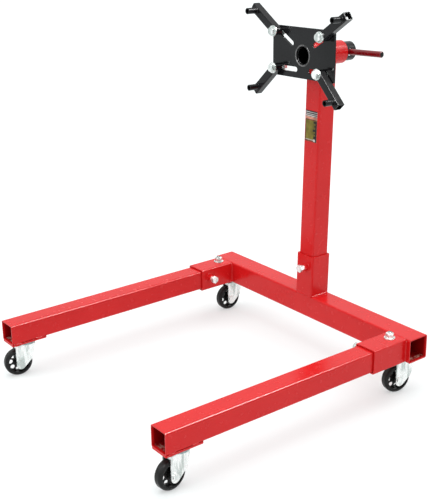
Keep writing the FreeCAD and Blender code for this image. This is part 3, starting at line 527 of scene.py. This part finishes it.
def sleeve_welds(name, side):
    """Upright fillets where the crossbar meets a leg's sleeve, and flat seams above and below."""
    piece = Piece()
    y, bottom, top = CROSSBAR_FRONT, FRAME_BOTTOM, FRAME_TOP
    half, corner, sunk = FRAME_TUBE / 2, 4 * MM, 1.0 * MM
    for edge in (-1, 1):
        x = side * LEG_SIDE + edge * half
        add_bead(piece, line(Vector((x, y, bottom + corner)), Vector((x, y, top - corner)), X * edge - Y), FILLET)
    for height, out in ((top - sunk, Z), (bottom + sunk, -Z)):
        start = Vector((side * LEG_SIDE - half + corner, y + 1.2 * MM, height))
        add_bead(piece, line(start, start + X * (2 * (half - corner)), out), SEAM, 0.7)
    piece.make(f"weld_sleeve_{name}", "frame", [RED])


def post_sleeve_welds():
    """Fillets at the sides of the post's sleeve, and seams in front and behind."""
    piece = Piece()
    half, end, corner, sunk = FRAME_TUBE / 2, 3 * MM, 4 * MM, 1.0 * MM
    for edge in (-1, 1):
        start = Vector((edge * half, CROSSBAR_FRONT + end, FRAME_TOP))
        add_bead(piece, line(start, start + Y * (FRAME_TUBE - 2 * end), X * edge + Z), FILLET)
    for y, out in ((CROSSBAR_FRONT + sunk, -Y), (CROSSBAR_FRONT + FRAME_TUBE - sunk, Y)):
        start = Vector((-half + corner, y, FRAME_TOP - 1.2 * MM))
        add_bead(piece, line(start, start + X * (2 * (half - corner)), out), SEAM, 0.8)
    piece.make("weld_post_sleeve", "frame", [RED])


def saddle_welds():
    """Round the joint where the post's cut end meets the collar."""
    piece = Piece()
    half = LEG_TUBE / 2
    drop = math.sqrt(COLLAR_RADIUS ** 2 - half ** 2)
    turn = COLLAR.to_3x3()
    corner = 3 * MM
    front = COLLAR_AHEAD + (FRAME_TUBE - LEG_TUBE) / 2
    rear = front + LEG_TUBE
    for edge in (-1, 1):
        path = line(Vector((edge * half, front + corner, -drop)), Vector((edge * half, rear - corner, -drop)),
                    X * edge - Z * 0.25)
        add_bead(piece, [(COLLAR @ point, turn @ out) for point, out in path], SADDLE)
    for y, ahead in ((front, -Y), (rear, Y)):
        path = []
        for k in range(17):
            x = (k / 8 - 1) * (half - corner)
            z = -math.sqrt(COLLAR_RADIUS ** 2 - x ** 2)
            out = turn @ (ahead + Vector((x, 0, z)).normalized())
            path.append((COLLAR @ Vector((x, y, z)), out.normalized()))
        add_bead(piece, path, SADDLE)
    piece.make("weld_saddle", "frame", [RED])


def nut_welds():
    """Round the nuts that are welded to the sleeves and the collar."""
    piece = Piece()
    radius = NUT_FLATS / 2 + 0.9 * MM
    for side in (-1, 1):
        centre = Vector((side * (LEG_SIDE - FRAME_TUBE / 2), CROSSBAR_FRONT - CLAMP_AHEAD, CLAMP_HEIGHT))
        add_bead(piece, ring_path(centre, Y, Z, radius, lambda r, s=side: r - X * s), SMALL_RING, closed=True)
    turn = POST.to_3x3()
    centre = POST @ Vector((POST_CLAMP[0], 0, POST_CLAMP[1]))
    add_bead(piece, ring_path(centre, turn @ X, turn @ Z, radius, lambda r: r - turn @ Y), SMALL_RING, closed=True)
    turn, path = COLLAR.to_3x3(), []
    for across, along in circle(48):
        x, y = radius * across, radius * along
        z = math.sqrt(COLLAR_RADIUS ** 2 - x ** 2)
        out = turn @ Vector((x, y, radius))
        path.append((COLLAR @ Vector((x, COLLAR_BOLT_BEHIND + y, z)), out.normalized()))
    add_bead(piece, path, COLLAR_NUT_RING, closed=True)
    piece.make("weld_clamp_nuts", "frame", [RED])


def pad_welds(name, side):
    """Short runs along the caster pad's edges, and one across its rear end."""
    piece = Piece()
    height = FRAME_BOTTOM + PAD_THICKNESS + 1.0 * MM
    for edge in (-1, 1):
        x = side * LEG_SIDE + edge * (LEG_TUBE / 2 - 1.4 * MM)
        for distance in (8 * MM, 70 * MM):
            start = Vector((x, LEG_FRONT + distance, height))
            add_bead(piece, line(start, start + Y * (18 * MM), X * edge), PAD_EDGE, 0.8)
    half_run = 19 * MM
    start = Vector((side * LEG_SIDE - half_run, LEG_FRONT + PAD_LENGTH, FRAME_BOTTOM + PAD_THICKNESS))
    add_bead(piece, line(start, start + X * (2 * half_run), Y - Z), SEAM)
    piece.make(f"weld_pad_{name}", "frame", [RED])


def head_welds():
    """Round the tube in the plate: a fillet behind, and a low ring in front in lighter grey, worn paint and a
    painted glint.
    """
    turn = HEAD.to_3x3()
    across, rear, up = turn @ X, turn @ Y, turn @ Z
    piece = Piece()
    path = ring_path(HEAD @ Vector((0, PLATE, 0)), across, up, SHAFT_RADIUS, lambda r: r + rear, 96)
    add_bead(piece, path, HEAD_REAR, closed=True)
    piece.make("weld_head", "head", [BLACK])
    piece = Piece()
    centre = HEAD @ Vector((0, 0.6 * MM, 0))
    path = ring_path(centre, across, up, SHAFT_RADIUS + 0.7 * MM, lambda r: -rear, 96)
    add_bead(piece, path, HEAD_FRONT, 0.9, closed=True)
    piece.make("weld_head_front", "head", [WORN_GLINT])


def finger_weld(name):
    """Round a finger's foot, on the front of its arm."""
    place = arm_frame(name)
    turn = place.to_3x3()
    piece = Piece()
    centre = place @ Vector((FINGER_ALONG, -ARM_TUBE - JOINT_GAP, 0))
    path = ring_path(centre, turn @ X, turn @ Z, FINGER_RADIUS, lambda r: r - turn @ Y)
    add_bead(piece, path, SMALL_RING, closed=True)
    piece.make(f"weld_finger_{name}", f"arm_{name}", [BLACK])


# The label, in millimetres. LABEL_TOP is the height of its top up the post. Blocks on it have a left and a right
# edge across the post, and a start and an end down from the label's top. Stripes have a start, an end and an ink.
WHITE, DARK, ORANGE, BROWN, OLIVE = range(5)
INKS = (rgb(0.72, 0.70, 0.68), rgb(0.012, 0.012, 0.012), rgb(0.72, 0.26, 0.16), rgb(0.22, 0.055, 0.02),
        rgb(0.215, 0.175, 0.022))
LABEL_TOP = 510
LABEL_FILM = (-22.5, 21, 0, 82)
STRIPE_EDGES = (-22.4, 20.9)
STRIPES = ((0, 3.2, DARK), (5, 8.2, DARK), (10, 12.4, DARK), (14.6, 16.2, BROWN), (17, 21.6, ORANGE),
           (22.2, 25.4, BROWN), (25.4, 76, OLIVE), (77.5, 82, BROWN))
# The first and the last marks are dark bars down the block's right and left edges
MARKS = ((15.5, 20.8, 26, 81), (8, 16, 27, 32), (11, 16, 38, 42), (6, 16, 48, 54), (10, 16, 58, 61),
         (9, 16, 66, 73), (-22.3, -20.5, 26, 81))
WHITE_MARK = (9, 16, 74, 80.5)


def add_slab(piece, edges, proud, ink):
    """A thin closed block on the post's front face, with its rear sunk into the post."""
    left, right, start, end = edges
    top, bottom = LABEL_TOP - start, LABEL_TOP - end
    face = (FRAME_TUBE - LEG_TUBE) / 2
    rings = []
    for y in (face + 0.3 * MM, face - proud):
        corners = ((left, bottom), (left, top), (right, top), (right, bottom))
        rings.append([POST @ Vector((x * MM, y, z * MM)) for x, z in corners])
    piece.add_rings(rings, kind=ink)


def add_label():
    """A label without words: printed stripes over a plain block, dark marks down its right side, and dark bars
    down both edges.
    """
    inks = []
    for k, ink in enumerate(INKS):
        faded = [c * 0.5 for c in ink[:3]] + [1.0]
        inks.append(moulded(f"label_{k}", ink, faded, (0.4, 0.5), 0.05, 400))
    piece = Piece()
    add_slab(piece, LABEL_FILM, 0.20 * MM, WHITE)
    for start, end, ink in STRIPES:
        add_slab(piece, (*STRIPE_EDGES, start, end), 0.26 * MM, ink)
    for edges in MARKS:
        add_slab(piece, edges, 0.30 * MM, DARK)
    add_slab(piece, WHITE_MARK, 0.32 * MM, WHITE)
    piece.make("label", "frame", inks, smooth=False)


# Rings of a handle plug: height over the handle's end and radius, in millimetres
PLUG = ((-0.5, 6.3), (0.1, 6.3), (0.5, 5.6), (0.5, 2.0))


def handle_plugs():
    """Low black plugs on the ends of the handle."""
    piece = Piece()
    middle = HEAD @ Matrix.Translation((0, HANDLE_BEHIND, 0))
    along = middle @ Matrix.Rotation(math.radians(90 - HANDLE_TILT), 4, "Y")
    for end in (-1, 1):
        rings = []
        for height, radius in PLUG:
            z = end * (HANDLE_LENGTH / 2 + height * MM)
            rings.append([along @ Vector((radius * MM * c, radius * MM * s, z)) for c, s in circle(32)])
        piece.add_rings(rings)
    piece.make("handle_plugs", "handle", [FINISHES["hub_plastic"]])


def frame_threads():
    """On the leg bolts' upper ends, and on the clamp bolts between nut and head."""
    piece = Piece()
    clamps = []
    for side in (-1, 1):
        above = (side * LEG_SIDE, CROSSBAR_FRONT - LEG_BOLT_AHEAD, FRAME_TOP + WASHER + NUT_HEIGHT)
        add_thread(piece, Matrix.Translation(above), THREAD_END)
        inner = (side * (LEG_SIDE - FRAME_TUBE / 2), CROSSBAR_FRONT - CLAMP_AHEAD, CLAMP_HEIGHT)
        clamps.append(Matrix.Translation(inner) @ Matrix.Rotation(math.radians(-90 * side), 4, "Y"))
    on_post = POST @ Matrix.Translation((POST_CLAMP[0], 0, POST_CLAMP[1]))
    clamps.append(on_post @ Matrix.Rotation(math.radians(90), 4, "X"))
    clamps.append(COLLAR @ Matrix.Translation((0, COLLAR_BOLT_BEHIND, COLLAR_RADIUS)))
    for clamp in clamps:
        add_thread(piece, clamp @ Matrix.Translation((0, 0, NUT_HEIGHT)), CLAMP_STANDOFF - NUT_HEIGHT)
    piece.make("threads_frame", "frame", [ZINC])


def arm_thread(name):
    """On the end of an arm's bolt, behind the plate."""
    piece = Piece()
    rear = arm_frame(name) @ Matrix.Translation((0, PLATE + JOINT_GAP + WASHER + NUT_HEIGHT, 0))
    add_thread(piece, rear @ Matrix.Rotation(math.radians(-90), 4, "X"), THREAD_END)
    piece.make(f"thread_{name}", f"arm_bolt_{name}", [ZINC])


for leg_name, leg_side in (("left", -1), ("right", 1)):
    sleeve_welds(leg_name, leg_side)
    pad_welds(leg_name, leg_side)
post_sleeve_welds()
add_label()
saddle_welds()
nut_welds()
head_welds()
handle_plugs()
frame_threads()
for arm_name in ARMS:
    finger_weld(arm_name)
    arm_thread(arm_name)


# Studio

FLOOR_HALF = 12
ROOM_LOW, ROOM_HIGH = 0.35, 1.08
ROOM_FROM, ROOM_TO = -0.15, 0.5
WHITE_STRENGTH = 1.05


def add_floor():
    """A matt floor that glows a little, so that it is as white as the background and still takes a shadow."""
    shader = Shader("floor")
    shader.set(Base_Color=rgb(0.465, 0.50, 0.50), Roughness=0.7, Specular_IOR_Level=0.0,
               Emission_Color=rgb(1, 1, 1), Emission_Strength=0.42,
               Normal=shader.bump(shader.noise(3), 0.02, 1 * MM))
    mesh = bpy.data.meshes.new("floor")
    corners = [(x * FLOOR_HALF, y * FLOOR_HALF, 0) for x, y in ((-1, -1), (1, -1), (1, 1), (-1, 1))]
    mesh.from_pydata(corners, [], [(0, 1, 2, 3)])
    mesh.materials.append(shader.material)
    floor = bpy.data.objects.new("floor", mesh)
    bpy.context.scene.collection.objects.link(floor)


def add_light(name, position, target, width, height, power, shows="all"):
    """A rectangle of light. It shows in all light, or only in "diffuse" or only in "glossy" light."""
    data = bpy.data.lights.new(name, "AREA")
    data.shape = "RECTANGLE"
    data.size, data.size_y = width, height
    data.energy = power
    light = bpy.data.objects.new(name, data)
    light.visible_glossy = shows != "diffuse"
    light.visible_diffuse = shows != "glossy"
    light.location = position
    light.rotation_euler = (Vector(target) - Vector(position)).to_track_quat("-Z", "Y").to_euler()
    bpy.context.scene.collection.objects.link(light)


def add_sun(name, direction, strength, softness):
    """Light from all over a part of the sky, softness degrees wide."""
    data = bpy.data.lights.new(name, "SUN")
    data.energy = strength
    data.angle = math.radians(softness)
    light = bpy.data.objects.new(name, data)
    light.rotation_euler = Vector(direction).to_track_quat("-Z", "Y").to_euler()
    bpy.context.scene.collection.objects.link(light)


def add_world():
    """White as a background. As light and in reflections, a room with a bright ceiling and a dimmer floor."""
    world = bpy.data.worlds.new("studio")
    world.use_nodes = True
    tree = world.node_tree
    room = tree.nodes["Background"]
    place = tree.nodes.new("ShaderNodeTexCoord")
    parts = tree.nodes.new("ShaderNodeSeparateXYZ")
    height = tree.nodes.new("ShaderNodeMapRange")
    height.interpolation_type = "SMOOTHSTEP"
    for socket, number in zip(height.inputs[1:], (ROOM_FROM, ROOM_TO, ROOM_LOW, ROOM_HIGH)):
        socket.default_value = number
    tree.links.new(place.outputs["Generated"], parts.inputs[0])
    tree.links.new(parts.outputs["Z"], height.inputs[0])
    tree.links.new(height.outputs[0], room.inputs["Strength"])
    white = tree.nodes.new("ShaderNodeBackground")
    white.inputs["Strength"].default_value = WHITE_STRENGTH
    path = tree.nodes.new("ShaderNodeLightPath")
    mix = tree.nodes.new("ShaderNodeMixShader")
    tree.links.new(path.outputs["Is Camera Ray"], mix.inputs[0])
    tree.links.new(room.outputs[0], mix.inputs[1])
    tree.links.new(white.outputs[0], mix.inputs[2])
    tree.links.new(mix.outputs[0], tree.nodes["World Output"].inputs["Surface"])
    room.inputs["Color"].default_value = white.inputs["Color"].default_value = (1, 1, 1, 1)
    bpy.context.scene.world = world


add_floor()
add_world()
add_sun("ceiling", (0.05, 0.08, -1), 1.35, 60)
add_light("front_left", (-1.4, -2.6, 1.9), (0, 0, 0.4), 0.5, 0.9, 8)
add_light("rear", (0.5, 2.3, 2.6), (0, 0, 0.5), 0.4, 1.2, 10, "diffuse")
add_light("strip", (1.5, 1.3, 2.4), (1.5, 1.3, 0), 1.2, 1.3, 340, "glossy")
add_light("front_above", (0.63, -1.02, 2.26), (0.1, 0.2, 0.8), 0.6, 0.6, 50, "glossy")
bpy.context.scene.view_settings.view_transform = "Standard"
